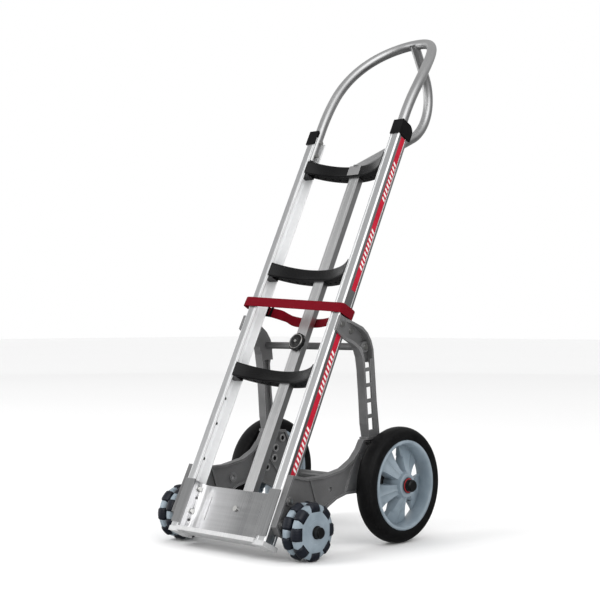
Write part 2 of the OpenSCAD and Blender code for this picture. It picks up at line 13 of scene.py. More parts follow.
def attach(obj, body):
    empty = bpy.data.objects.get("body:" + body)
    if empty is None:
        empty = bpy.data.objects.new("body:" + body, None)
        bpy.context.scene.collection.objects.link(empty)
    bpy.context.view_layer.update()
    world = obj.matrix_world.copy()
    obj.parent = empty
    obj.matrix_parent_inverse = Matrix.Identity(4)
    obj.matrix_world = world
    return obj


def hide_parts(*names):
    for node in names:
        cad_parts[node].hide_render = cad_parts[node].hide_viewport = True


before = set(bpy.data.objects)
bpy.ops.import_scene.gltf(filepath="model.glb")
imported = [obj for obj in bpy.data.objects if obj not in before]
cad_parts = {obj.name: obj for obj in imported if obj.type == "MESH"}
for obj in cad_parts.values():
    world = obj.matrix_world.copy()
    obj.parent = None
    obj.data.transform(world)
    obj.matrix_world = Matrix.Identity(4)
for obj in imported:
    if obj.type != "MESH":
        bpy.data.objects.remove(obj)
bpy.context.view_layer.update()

MM = 0.001
LEAN = math.radians(26.7)
AXLE_Y = -293.525
# where the rails' front faces meet the floor
FOOT_Y = AXLE_Y - 100.9
RAIL_IN = 116.5
# the crossbars' top edges along the rails, and how deep their bow is
BAR_TOPS = {"top": 977, "middle": 697, "lower": 441}
BOW = 46.0
# the handle's legs, and the backward bend that starts above them
LEG_X, LEG_D, LEG_END = 127, 15.2, 985
BEND_START, BEND_RADIUS = 1078, 544.5
# the arch over the bend: where it starts, its rise, and how square it is
ARCH_START, ARCH_RISE, ARCH_POWER = 82.8, 231, 0.95
# the centre loop's bend: its middle, its radius, and its end angles
LOOP_D, LOOP_T, LOOP_R = 106, 1229, 117
LOOP_LOW, LOOP_TOP = -38.9, 56
TUBE_R, TUBE_SIDES = 12, 40
CLIP_TOP = 979.4
KNOB_T = 515
STRAP_T, STRAP_TILT = 585.5, math.radians(3.7)
REAR_X, REAR_Y, REAR_R = 194, 290.6, 127
# the omni wheels' middle, half the distance between their rows, and their two radii
OMNI_X, OMNI_ROW, OMNI_R, ROLLER_RING = 188.4, 12.4, 60, 48
# near white: the painted light inside the rails' channels and the painted highlights on their fronts
PAINTED_CHANNEL_LIGHT = (0.93, 0.935, 0.94)


def rail(x, d, t):
    """A point in metres, given across, behind the rails' fronts and along their lean."""
    s, c = math.sin(LEAN), math.cos(LEAN)
    return Vector((x, FOOT_Y + t * s + d * c, t * c - d * s)) * MM


def truck(x, y, z):
    """A point in metres, given from the middle of the front axle, on the floor."""
    return Vector((x, AXLE_Y + y, z)) * MM


# ---------------------------------------------------------------- shader building


def add_node(tree, kind, inputs=None, **settings):
    """A node in tree. Its inputs are values, or sockets that are linked to it."""
    node = tree.nodes.new(kind)
    for key, value in settings.items():
        setattr(node, key, value)
    for key, value in (inputs or {}).items():
        if isinstance(value, bpy.types.NodeSocket):
            tree.links.new(value, node.inputs[key])
        else:
            node.inputs[key].default_value = value
    return node


class Shader:
    """One material and the few ways that its nodes are added."""

    def __init__(self, name, **sockets):
        self.material = bpy.data.materials.new(name)
        self.material.use_nodes = True
        self.tree = self.material.node_tree
        self.surface = self.tree.nodes["Principled BSDF"]
        for key, value in sockets.items():
            self.surface.inputs[key.replace("_", " ")].default_value = value
        self.place = self.add("ShaderNodeTexCoord").outputs["Object"]

    def add(self, kind, inputs=None, **settings):
        return add_node(self.tree, kind, inputs, **settings)

    def across(self):
        """The X of each point, in metres."""
        return self.add("ShaderNodeSeparateXYZ", {0: self.place}).outputs["X"]

    def wave(self, uv, scale, distortion, way):
        node = self.add(
            "ShaderNodeTexWave",
            {"Vector": uv, "Scale": scale, "Distortion": distortion, "Detail": 1.0},
            wave_type="BANDS", bands_direction=way,
        )
        return node.outputs["Fac"]

    def along_rails(self):
        turned = self.add("ShaderNodeMapping", {"Vector": self.place, "Rotation": (LEAN, 0, 0)})
        return turned.outputs["Vector"]

    def stretched(self, vector, scale):
        return self.add("ShaderNodeMapping", {"Vector": vector, "Scale": scale}).outputs["Vector"]

    def noise(self, scale, detail=3.0, vector=None, rough=0.55):
        node = self.add(
            "ShaderNodeTexNoise",
            {"Vector": vector or self.place, "Scale": scale, "Detail": detail, "Roughness": rough},
        )
        return node.outputs["Fac"]

    def spread(self, value, low, high, to_low=0.0, to_high=1.0):
        node = self.add(
            "ShaderNodeMapRange",
            {"Value": value, "From Min": low, "From Max": high, "To Min": to_low, "To Max": to_high},
        )
        return node.outputs["Result"]

    def maths(self, operation, a, b=0.0):
        return self.add("ShaderNodeMath", {0: a, 1: b}, operation=operation).outputs[0]

    def mix(self, factor, a, b):
        node = self.add("ShaderNodeMix", {"Factor": factor}, data_type="RGBA")
        for socket, value in ((node.inputs[6], a), (node.inputs[7], b)):
            if isinstance(value, bpy.types.NodeSocket):
                self.tree.links.new(value, socket)
            else:
                socket.default_value = (*value, 1.0)
        return node.outputs[2]

    def edges(self, radius, low=0.02, high=0.18):
        """How near a convex or concave edge a point is, from 0 to 1."""
        soft = self.add("ShaderNodeBevel", {"Radius": radius}, samples=3).outputs["Normal"]
        sharp = self.add("ShaderNodeNewGeometry").outputs["Normal"]
        dot = self.add("ShaderNodeVectorMath", {0: soft, 1: sharp}, operation="DOT_PRODUCT")
        return self.spread(self.maths("SUBTRACT", 1.0, dot.outputs["Value"]), low, high)

    def finish(self, colour, rough, *bumps):
        """Links colour and roughness, and (height, distance) bumps on top of each other."""
        self.tree.links.new(colour, self.surface.inputs["Base Color"])
        self.tree.links.new(rough, self.surface.inputs["Roughness"])
        normal = None
        for height, distance in bumps:
            inputs = {"Height": height, "Distance": distance, "Strength": 1.0}
            if normal:
                inputs["Normal"] = normal
            normal = self.add("ShaderNodeBump", inputs).outputs["Normal"]
        if normal:
            self.tree.links.new(normal, self.surface.inputs["Normal"])
        return self.material


def extruded_aluminium(name, dark, light, rough, channel=False, metallic=1.0, shade=None):
    """Drawn metal with fine lines along the rails, dull patches, and edges lightened towards near white.

    With channel, the faces inside the rails carry painted light, and a few edges of their fronts carry painted
    highlights: both are near white and duller.
    With shade, a painted reflection runs the metal from light to dark across the truck between the two x given,
    in painted streaks.
    """
    s = Shader(name, Metallic=metallic)
    along = s.along_rails()
    lines = s.noise(1.0, 2.0, s.stretched(along, (900, 900, 5)))
    patches = s.noise(14, 4.0)
    specks = s.spread(s.noise(420, 2.0), 0.62, 0.72)
    base = s.mix(s.spread(lines, 0.3, 0.7), dark, light)
    base = s.mix(s.spread(patches, 0.45, 0.75, 0.0, 0.35), base, [v * 0.8 for v in dark])
    base = s.mix(s.maths("MULTIPLY", specks, 0.25), base, [v * 0.55 for v in dark])
    # edges, convex and concave, are lightened towards near white
    base = s.mix(s.maths("MULTIPLY", s.edges(0.0012), 0.6), base, (0.93, 0.93, 0.92))
    roughness = s.maths(
        "ADD", s.spread(lines, 0.3, 0.7, rough, rough + 0.1), s.spread(patches, 0.4, 0.8, 0, 0.12)
    )
    axes = s.add("ShaderNodeSeparateXYZ", {0: along}).outputs
    face = FOOT_Y * MM * math.cos(LEAN)
    if channel:
        depth = s.maths("SUBTRACT", axes["Y"], face)
        reach = s.maths("ABSOLUTE", axes["X"])

        def within(value, low, high):
            above = s.maths("GREATER_THAN", value, low * MM)
            return s.maths("MULTIPLY", above, s.maths("LESS_THAN", value, high * MM))

        # Painted light: the faces inside each rail's channel are lit near white, less metallic and rougher.
        # Painted highlights: bright lines on a rib and the inner edge of each front, and along its outer
        # corner.
        inside = s.maths("MULTIPLY", within(depth, 2.2, 34.4), s.maths("LESS_THAN", reach, 141.3 * MM))
        rib = s.maths("MAXIMUM", within(reach, 120.9, 122.7), s.maths("LESS_THAN", reach, 117.6 * MM))
        rib = s.maths("MULTIPLY", rib, s.maths("LESS_THAN", depth, 1.2 * MM))
        corner = s.maths(
            "MULTIPLY", s.maths("LESS_THAN", depth, 3.6 * MM), s.maths("GREATER_THAN", reach, 139.7 * MM)
        )
        pale = s.maths("MAXIMUM", inside, s.maths("MAXIMUM", corner, rib))
        # the painted light and painted highlights are near-white metal with less metallic shine
        base = s.mix(pale, base, PAINTED_CHANNEL_LIGHT)
        s.tree.links.new(s.spread(pale, 0, 1, metallic, 0.12), s.surface.inputs["Metallic"])
        roughness = s.maths("ADD", roughness, s.maths("MULTIPLY", inside, 0.25))
    # Painted reflection: the metal is lightened to about twice its light tone at the left of the nose plate,
    # fading to its own colour at the right, in painted streaks; the flanges in front of the rails' fronts keep
    # their own colour.
    if shade:
        run = s.spread(axes["X"], shade[0], shade[1])
        bands = s.noise(1.0, 3.0, s.stretched(along, (3, 3, 70)))
        run = s.maths("ADD", run, s.spread(bands, 0.3, 0.7, -0.12, 0.12))
        run = s.maths("MAXIMUM", run, s.maths("LESS_THAN", axes["Y"], face))
        base = s.mix(s.spread(run, 0.0, 1.0), [min(0.9, v * 2.1) for v in light], base)
    return s.finish(base, roughness, (lines, 0.000008), (specks, 0.00001))


def drawn_tube(name, dark, light, rough):
    """Bare satin tube: faint hand marks, fine cross scratches and small pits."""
    s = Shader(name, Metallic=1.0)
    marks = s.noise(9, 5.0)
    scratches = s.noise(1.0, 3.0, s.stretched(s.place, (120, 120, 900)))
    pits = s.spread(s.noise(350, 2.0), 0.66, 0.76)
    base = s.mix(s.spread(marks, 0.3, 0.7), dark, light)
    base = s.mix(s.maths("MULTIPLY", pits, 0.12), base, [v * 0.6 for v in dark])
    roughness = s.maths(
        "ADD", s.spread(marks, 0.3, 0.75, rough, rough + 0.14), s.spread(scratches, 0.4, 0.7, 0, 0.06)
    )
    return s.finish(base, roughness, (marks, 0.00002))


def cast_metal(name, dark, light, rough, metallic=0.5, grain=0.00012):
    """Sand-textured casting: orange-peel skin, blotchy stains, rubbed bright edges."""
    s = Shader(name, Metallic=metallic, Specular_IOR_Level=0.5 if metallic else 0.24)
    grit = s.noise(1100, 3.0, rough=0.6)
    swell = s.noise(90, 3.0)
    stains = s.noise(11, 5.0)
    base = s.mix(s.spread(stains, 0.32, 0.7), dark, light)
    base = s.mix(s.spread(grit, 0.35, 0.65, 0.0, 0.35), base, [v * 0.72 for v in dark])
    worn = s.maths("MULTIPLY", s.edges(0.0018), s.spread(stains, 0.35, 0.65, 0.25, 0.9))
    base = s.mix(worn, base, [min(1.0, v * 1.9 + 0.25 * v**0.5 * metallic) for v in light])
    roughness = s.maths(
        "SUBTRACT", s.spread(grit, 0.3, 0.7, rough, rough + 0.18), s.maths("MULTIPLY", worn, 0.15)
    )
    return s.finish(base, roughness, (swell, 0.0002), (grit, grain))


def moulded(name, dark, light, rough, grain=900, depth=0.00004, scuff=0.35, coat=0.0):
    """Moulded plastic: fine spark texture, flow marks and pale scuffs on its edges."""
    gloss = 0.5 if light[0] > 0.1 else 0.14
    s = Shader(name, Coat_Weight=coat, Coat_Roughness=0.25, Specular_IOR_Level=gloss)
    fine = s.noise(grain, 2.0)
    flow = s.noise(22, 4.0)
    base = s.mix(s.spread(flow, 0.35, 0.7), dark, light)
    rubbed = s.maths("MULTIPLY", s.edges(0.001), s.spread(flow, 0.4, 0.6, 0.1, scuff))
    base = s.mix(rubbed, base, [min(1.0, v * 1.8) for v in light])
    roughness = s.maths("ADD", s.spread(fine, 0.3, 0.7, rough, rough + 0.1), s.spread(flow, 0.4, 0.7, 0, 0.1))
    return s.finish(base, roughness, (fine, depth), (flow, 0.00008))


def axle_steel(name):
    """Dull steel bar between the arms, and black outside them."""
    s = Shader(name)
    outside = s.maths("GREATER_THAN", s.maths("ABSOLUTE", s.across()), 159 * MM)
    turned = s.noise(1.0, 3.0, s.stretched(s.place, (400, 30, 30)))
    stains = s.noise(30, 4.0)
    base = s.mix(s.spread(stains, 0.3, 0.7), (0.24, 0.24, 0.242), (0.36, 0.36, 0.362))
    base = s.mix(outside, base, s.mix(stains, (0.003, 0.003, 0.0033), (0.007, 0.007, 0.0075)))
    metal = s.maths("SUBTRACT", 0.9, s.maths("MULTIPLY", outside, 0.9))
    s.tree.links.new(metal, s.surface.inputs["Metallic"])
    return s.finish(base, s.spread(turned, 0.3, 0.7, 0.28, 0.42), (turned, 0.00001), (stains, 0.00003))


def tyre_rubber(name, dark, light, rough, dust=0.12):
    """Rubber with a moulded skin and a little pale dust in it."""
    s = Shader(name, Specular_IOR_Level=0.14 if light[2] < 0.01 else 0.4)
    grit = s.noise(650, 4.0, rough=0.65)
    cloud = s.noise(26, 5.0)
    base = s.mix(s.spread(cloud, 0.3, 0.7), dark, light)
    dusty = s.maths("MULTIPLY", s.spread(s.noise(210, 5.0), 0.52, 0.72), dust)
    base = s.mix(dusty, base, (0.05, 0.05, 0.049))
    roughness = s.maths(
        "ADD", s.spread(grit, 0.3, 0.7, rough, rough + 0.12), s.spread(cloud, 0.35, 0.7, 0, 0.12)
    )
    return s.finish(base, roughness, (grit, 0.00006), (cloud, 0.0001))


def webbing(name):
    """Polyester webbing: ribs across the band, a woven grid, and darker worn patches."""
    s = Shader(name, Specular_IOR_Level=0.06)
    uv = s.add("ShaderNodeUVMap", uv_map="weave").outputs["UV"]
    weave = s.maths("MULTIPLY", s.wave(uv, 260.0, 0.6, "X"), s.wave(uv, 190.0, 0.4, "Y"))
    worn = s.noise(40, 4.0)
    fluff = s.noise(1500, 2.0)
    base = s.mix(s.spread(weave, 0.0, 0.8), (0.1, 0.0015, 0.006), (0.28, 0.004, 0.016))
    base = s.mix(s.spread(worn, 0.5, 0.8, 0, 0.5), base, (0.15, 0.003, 0.01))
    base = s.mix(s.spread(fluff, 0.6, 0.75, 0, 0.15), base, (0.42, 0.02, 0.03))
    return s.finish(base, s.spread(worn, 0.3, 0.7, 0.55, 0.72), (weave, 0.00022), (fluff, 0.00006))


def printed(name, dark, light, rough=0.32):
    """Vinyl label: faint print mottle and small bubbles."""
    s = Shader(name, Specular_IOR_Level=0.15)
    mottle = s.noise(60, 4.0)
    bubbles = s.spread(s.noise(260, 2.0), 0.6, 0.75)
    base = s.mix(s.spread(mottle, 0.3, 0.7), dark, light)
    base = s.mix(s.maths("MULTIPLY", bubbles, 0.04), base, (0.9, 0.88, 0.86))
    # the back faces are painted near black: painted shade seen through the rails' spare holes
    normal = s.add("ShaderNodeNewGeometry").outputs["Normal"]
    facing = s.add("ShaderNodeSeparateXYZ", {0: normal}).outputs["X"]
    back = s.maths("LESS_THAN", s.maths("MULTIPLY", facing, s.across()), -0.05)
    base = s.mix(back, base, (0.01, 0.01, 0.01))
    roughness = s.spread(mottle, 0.3, 0.7, rough, rough + 0.14)
    return s.finish(base, roughness, (bubbles, 0.00004), (mottle, 0.00003))


BLACKS = (0.003, 0.003, 0.0033), (0.006, 0.006, 0.0065)
MATERIALS = {
    # the rails: painted light in their channels, painted highlights on their fronts
    "rail": extruded_aluminium(
        "rail_extrusion", (0.66, 0.67, 0.68), (0.8, 0.805, 0.81), 0.26, channel=True
    ),
    "bar": extruded_aluminium("bar_extrusion", (0.68, 0.685, 0.69), (0.82, 0.82, 0.82), 0.3),
    "lip": extruded_aluminium(
        "lip_extrusion", (0.6, 0.605, 0.61), (0.72, 0.72, 0.72), 0.4, metallic=0.3
    ),
    "tube": drawn_tube("handle_tube", (0.56, 0.563, 0.567), (0.68, 0.682, 0.685), 0.27),
    # the nose plate: a painted reflection, bright at the left
    "plate": extruded_aluminium(
        "nose_plate", (0.3, 0.305, 0.31), (0.42, 0.42, 0.425), 0.27, shade=(-0.1, 0.03)
    ),
    "cast": cast_metal("grey_casting", (0.16, 0.16, 0.162), (0.25, 0.25, 0.253), 0.4),
    "black_cast": cast_metal(
        "black_casting", (0.003, 0.003, 0.0033), (0.007, 0.007, 0.0074), 0.2, metallic=0.0, grain=0.00003
    ),
    "black": moulded("black_moulding", *BLACKS, 0.3),
    "hub": moulded(
        "hub_moulding", (0.2, 0.25, 0.29), (0.29, 0.35, 0.4), 0.3,
        grain=700, depth=0.00003, scuff=0.5, coat=0.35,
    ),
    "axle": axle_steel("axle_steel"),
    "gloss_black": moulded("gloss_black", *BLACKS, 0.16, depth=0.00001, coat=0.5),
    "clip": cast_metal(
        "clip_sheet", (0.3, 0.3, 0.3), (0.38, 0.38, 0.382), 0.4, metallic=0.6, grain=0.00002
    ),
    "zinc": drawn_tube("zinc_plate", (0.62, 0.62, 0.6), (0.78, 0.78, 0.76), 0.24),
    "tyre": tyre_rubber("tyre_rubber", (0.003, 0.003, 0.0033), (0.007, 0.007, 0.0075), 0.36),
    "roller": tyre_rubber("roller_rubber", (0.004, 0.0055, 0.011), (0.009, 0.012, 0.021), 0.26, 0.06),
    "red": printed("label_red", (0.4, 0.004, 0.02), (0.5, 0.008, 0.032)),
    "white": printed("label_white", (0.72, 0.72, 0.71), (0.82, 0.82, 0.81)),
    "washer": moulded("red_washer", (0.3, 0.008, 0.014), (0.38, 0.012, 0.02), 0.4),
    "strap": webbing("red_webbing"),
}


# ---------------------------------------------------------------- mesh building


def make(name, points, faces, finish, body="frame", smooth=True, replaces=(), slot=None, bevel=0.0, uv=None):
    """A piece of the truck, riding on body. The points are in metres, and bevel is in millimetres."""
    mesh = bpy.data.meshes.new(name)
    mesh.from_pydata([tuple(p) for p in points], [], faces)
    if uv:
        layer = mesh.uv_layers.new(name="weave")
        for loop in mesh.loops:
            layer.data[loop.index].uv = uv[loop.vertex_index]
    work = bmesh.new()
    work.from_mesh(mesh)
    bmesh.ops.recalc_face_normals(work, faces=work.faces)
    work.to_mesh(mesh)
    work.free()
    mesh.materials.append(MATERIALS[finish])
    piece = bpy.data.objects.new(name, mesh)
    bpy.context.collection.objects.link(piece)
    if bevel:
        soften(piece, bevel)
    elif smooth:
        mesh.shade_smooth()
        mesh.set_sharp_from_angle(angle=math.radians(40))
    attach(piece, body)
    if replaces:
        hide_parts(*replaces)
    return piece


def soften(obj, width, weld=False):
    """Rounds the edges of obj by width millimetres."""
    if weld:
        obj.modifiers.new("weld", "WELD").merge_threshold = 0.00001
    bevel = obj.modifiers.new("rounded_edges", "BEVEL")
    bevel.width = width * MM
    bevel.segments = 2
    bevel.limit_method = "ANGLE"
    bevel.angle_limit = math.radians(35)
    bevel.use_clamp_overlap = True
    bevel.harden_normals = True


def skin(rings, ends=True):
    """Faces that join equal rings of points in order, and with ends one over each end."""
    n = len(rings[0])
    points = [p for ring in rings for p in ring]
    faces = []
    for i in range(len(rings) - 1):
        for k in range(n):
            k2 = (k + 1) % n
            faces.append((i * n + k, i * n + k2, (i + 1) * n + k2, (i + 1) * n + k))
    if ends:
        faces.append(tuple(range(n)))
        faces.append(tuple(range((len(rings) - 1) * n, len(rings) * n)))
    return points, faces


def closed_skin(rings):
    """Faces that join equal rings of points in order, and the last ring to the first."""
    points, faces = skin(rings + [rings[0]], ends=False)
    last = len(points) - len(rings[0])
    return points[:last], [tuple(v - last if v >= last else v for v in f) for f in faces]


def merged(parts):
    """One list of points and faces from several."""
    points, faces = [], []
    for p, f in parts:
        faces += [tuple(v + len(points) for v in g) for g in f]
        points += p
    return points, faces


def slab(outline, place, thick0, thick1):
    """A flat plate from an outline: place(u, v, w) gives the points."""
    n = len(outline)
    points = [place(u, v, thick0) for u, v in outline] + [place(u, v, thick1) for u, v in outline]
    faces = [tuple(range(n)), tuple(range(n, 2 * n))]
    faces += [(k, (k + 1) % n, n + (k + 1) % n, n + k) for k in range(n)]
    return points, faces


def circle(middle, across, up, radius, sides):
    """Points round middle, in the plane of across and up. The radius is in metres."""
    turns = (2 * math.pi * k / sides for k in range(sides))
    return [middle + (across * math.cos(a) + up * math.sin(a)) * radius for a in turns]


def wheel_point(centre, r, a, x, side=1):
    """A point r from a wheel's axis, at angle a from straight up towards the back."""
    return centre + Vector((side * x, r * math.sin(a), r * math.cos(a))) * MM


def lathe(centre, profile, segments, side=1):
    """A closed ring of revolution about X through centre, from a closed [r, x] profile."""
    rings = []
    for i in range(segments):
        a = 2 * math.pi * i / segments
        rings.append([wheel_point(centre, r, a, x, side) for r, x in profile])
    return closed_skin(rings)


def sweep(path, radius, sides=32, hollow=0.0, depth=20):
    """A tube along path. With hollow, its ends are open to that radius for depth millimetres."""
    rings = []
    across = (path[1] - path[0]).orthogonal().normalized()
    ways = []
    for i, p in enumerate(path):
        way = (path[min(i + 1, len(path) - 1)] - path[max(i - 1, 0)]).normalized()
        across = (across - way * across.dot(way)).normalized()
        up = way.cross(across)
        ways.append((way, across, up))
        rings.append(circle(p, across, up, radius * MM, sides))
    if hollow:
        for push in (0, depth * MM):
            way, across, up = ways[0]
            rings.insert(0, circle(path[0] + way * push, across, up, hollow * MM, sides))
            way, across, up = ways[-1]
            rings.append(circle(path[-1] - way * push, across, up, hollow * MM, sides))
    return skin(rings)


# ---------------------------------------------------------------- carried-over CAD nodes

CAD_LOOKS = {
    "rail_left": ("rail", 0.35), "rail_right": ("rail", 0.35), "rail_caps": ("black", 0.8),
    "centre_bar": ("bar", 0.4), "nose_frame": ("plate", 0.5),
    "nose_lip": ("lip", 0.4), "strut_left": ("cast", 0.9), "strut_right": ("cast", 0.9),
    "arm_left": ("cast", 0.9), "arm_right": ("cast", 0.9), "cross_tube": ("cast", 0.4),
    "frame_bolts": ("zinc", 0.4), "axles": ("axle", 0.5), "omni_hub_left": ("hub", 0.4),
    "omni_hub_right": ("hub", 0.4), "crossbar_top": ("black_cast", 0.5),
    "crossbar_middle": ("black_cast", 0.5), "crossbar_lower": ("black_cast", 0.5),
}
for node, (finish, width) in CAD_LOOKS.items():
    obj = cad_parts[node]
    for slot in obj.material_slots:
        slot.material = MATERIALS[finish]
    soften(obj, width, weld=True)


# ---------------------------------------------------------------- handle


def bent(x, s):
    """A point s along the handle's backward bend."""
    a = s / BEND_RADIUS
    return rail(x, LEG_D + BEND_RADIUS * (1 - math.cos(a)), BEND_START + BEND_RADIUS * math.sin(a))


def arch_point(u):
    """A point of the arch, from the right leg at 0 to the left leg at pi."""
    c, s = math.cos(u), math.sin(u)
    return bent(LEG_X * math.copysign(abs(c) ** ARCH_POWER, c), ARCH_START + ARCH_RISE * s**ARCH_POWER)


leg = [rail(LEG_X, LEG_D, t) for t in (LEG_END, 1000, 1015, 1030, 1045, 1060, 1072)]
rise = [bent(LEG_X, s) for s in range(0, 81, 8)]
crown = [arch_point(math.radians(u)) for u in range(3, 178, 2)]
arch = leg + rise + crown
arch += [Vector((-p.x, p.y, p.z)) for p in reversed(leg + rise)]
points, faces = sweep(arch, TUBE_R, TUBE_SIDES, hollow=9.6)
make("handle_arch_tube", points, faces, "tube", replaces=["handle_arch"], slot="tube_aluminium")


def loop_point(a, run=0.0):
    """A point of the centre loop's bend at angle a, or run millimetres straight on from there."""
    a = math.radians(a)
    d = LOOP_D + LOOP_R * math.cos(a) - run * math.sin(a)
    return rail(0, d, LOOP_T + LOOP_R * math.sin(a) + run * math.cos(a))


foot = [loop_point(LOOP_LOW, -run) for run in range(236, 0, -8)]
loop = foot + [loop_point(a) for a in range(-38, LOOP_TOP + 1, 2)]
loop += [loop_point(LOOP_TOP, run) for run in range(8, 70, 8)]
points, faces = sweep(loop, TUBE_R, TUBE_SIDES)

# the upper end is coped to the underside of the arch
apex = bent(0, ARCH_START + ARCH_RISE)
reach = (loop_point(LOOP_TOP, 1) - loop_point(LOOP_TOP)).normalized()
seam = []
for v in points[-TUBE_SIDES:]:
    for step in range(60):
        if math.hypot(v.y - apex.y, v.z - apex.z) <= TUBE_R * MM:
            break
        v = v + reach * 0.4 * MM
    seam.append(v)
points[-TUBE_SIDES:] = seam
# the lower end is cut flat on the clip
normal, level = rail(0, 0, 1) - rail(0, 0, 0), rail(0, 0, CLIP_TOP)
run = (loop[1] - loop[0]).normalized()
for k in range(TUBE_SIDES):
    points[k] += run * ((level - points[k]).dot(normal) / run.dot(normal))
make("handle_loop_tube", points, faces, "tube", replaces=["handle_loop"], slot="tube_aluminium")


def weld_bead(name, line, radius):
    """A closed run of overlapping weld ripples along a line of points."""
    fine = []
    for i in range(len(line)):
        a, b = line[i], line[(i + 1) % len(line)]
        fine += [a.lerp(b, j / 3) for j in range(3)]
    rings = []
    for i, p in enumerate(fine):
        way = (fine[(i + 1) % len(fine)] - fine[i - 1]).normalized()
        across = way.orthogonal().normalized()
        up = way.cross(across)
        r = radius * (1 + 0.22 * math.cos(i * 2.1) + 0.15 * noise.noise(p * 400)) * MM
        rings.append(circle(p, across, up, r, 8))
    make(name, *closed_skin(rings), "tube")


weld_bead("loop_top_weld", seam, 1.6)
weld_bead("loop_foot_weld", points[:TUBE_SIDES], 1.3)


# ---------------------------------------------------------------- crossbars


def bow_d(x):
    """How far behind the rails' fronts a crossbar's front face is at x."""
    r = (RAIL_IN * RAIL_IN + BOW * BOW) / (2 * BOW)
    return BOW - r + math.sqrt(r * r - x * x)


def crossbar_face(name, top):
    """The proud band on a crossbar's front: tall at its ends, and with a rolled top."""
    rings = []
    for i in range(61):
        x = -RAIL_IN + 0.2 + (2 * RAIL_IN - 0.4) * i / 60
        low = 24 + 9 * abs(x / RAIL_IN) ** 1.7
        bottom_turn = min(3.0, low * 0.1)
        section = [(1.0, 0.4), (0.0, 0.9), (-1.3, 0.6), (-2.2, -0.6), (-2.6, -3.0), (-2.7, -low * 0.5),
                   (-2.6, -low + bottom_turn), (-2.1, -low + 0.8), (-1.0, -low), (1.0, -low)]
        rings.append([rail(x, bow_d(x) + d, top + t) for d, t in section])
    make(name, *skin(rings), "black_cast", slot="black_casting")


for which, top in BAR_TOPS.items():
    crossbar_face("crossbar_band_" + which, top)


def loop_clip():
    """The bent sheet that holds the loop's foot: a leaf in front of the bar and one over its top."""
    front = bow_d(0) - 3.9
    outline = [
        (front, 954), (front, 977.5), (front + 0.8, CLIP_TOP), (front + 2.6, 980), (70, 980), (71, 979.2),
        (71, 978.4), (70, 977.8), (front + 3.4, 977.8), (front + 2.2, 976.6), (front + 2, 954),
    ]
    rings = []
    for x in (-19, -18.4, -10, 0, 9, 15.4, 16):
        inset = 0.4 if x in (-19, 16) else 0.0
        rings.append([rail(x, d, t + (inset if t < 955 else 0)) for d, t in outline])
    make("loop_clip_sheet", *skin(rings), "clip", replaces=["loop_clip"], slot="tube_aluminium", bevel=0.3)


loop_clip()


# ---------------------------------------------------------------- labels on the rails


def label(side, name):
    """A strip in the rail's outer recess, in two lengths round the strut, with slanted white bars.

    The left strip is wider, so that its back, painted near black, shows through the rail's spare holes as
    painted shade.
    """
    inner, outer, proud = side * 141.7, side * 142.05, side * 142.3
    # the left strip reaches deeper, behind the spare holes, to carry their painted shade
    back = 26.4 if side > 0 else 31.0
    slant, wide, steps = 5.0, 5.2, 24
    strips, bars = [], []
    for start, end in ((152, 522), (628, 1024)):
        rings = []
        for i in range(steps + 1):
            t = start + (end - start) * i / steps
            corners = ((inner, 12.6), (outer, 12.8), (outer, back - 0.2), (inner, back))
            rings.append([rail(x, d, t) for x, d in corners])
        strips.append(skin(rings))
        for group in range(start + 52, end - 120, 176):
            for i in range(9):
                t = group + i * 11.5
                corners = [(14.6, t + slant), (24.4, t), (24.4, t + wide), (14.6, t + slant + wide)]
                bars.append(slab(corners, lambda d, along, x: rail(x, d, along), outer, proud))
    make("label_strip_" + name, *merged(strips), "red", smooth=False)
    make("label_bars_" + name, *merged(bars), "white", smooth=False)


label(1, "right")
label(-1, "left")


# ---------------------------------------------------------------- strap and buckle


def strap_centre(x, d, lift=0.0):
    """A point in the strap's tilted plane, or lift millimetres above it."""
    s, c = math.sin(STRAP_TILT), math.cos(STRAP_TILT)
    return rail(x * c + lift * s, d, STRAP_T - x * s + lift * c)


def smooth_line(knots, steps):
    """A closed Catmull-Rom curve through (x, d, lift, twist) knots."""
    out = []
    n = len(knots)
    for i in range(n):
        p = [knots[(i + j - 1) % n] for j in range(4)]
        for s in range(steps):
            t = s / steps
            out.append([
                0.5 * (2 * p[1][k] + (p[2][k] - p[0][k]) * t
                       + (2 * p[0][k] - 5 * p[1][k] + 4 * p[2][k] - p[3][k]) * t * t
                       + (3 * p[1][k] - p[0][k] - 3 * p[2][k] + p[3][k]) * t**3)
                for k in range(4)
            ])
    return out


# (x, depth, lift, twist in degrees) round the strap
STRAP_KNOTS = [
    (-154, -3, 0, 0), (-120, -3.6, 0, 0), (-60, -3.2, 0, 0), (0, -3.0, 0, 0), (60, -3.2, 0, 0),
    (110, -3.2, 0, 0), (138, -2.8, 0, 0), (145.5, -1.0, 0, 0), (147.2, 4, 0, 0), (147.6, 18, 0, 0),
    (147.4, 32, 0, 0), (145.5, 40, -1, 0), (138, 44.5, -2, 0), (112, 50, -3, 2), (70, 60, -6, 3),
    (30, 70, -9, 2), (0, 73, -10, 0), (-30, 70, -12, -5), (-52, 64, -12, -30), (-68, 58, -8, -42),
    (-84, 53, -5, -20), (-104, 48.5, -3, -4), (-128, 46, -1, 0), (-150, 42, 0, 0), (-159, 32, 0, 0),
    (-161, 16, 0, 0), (-160, 4, 0, 0),
]


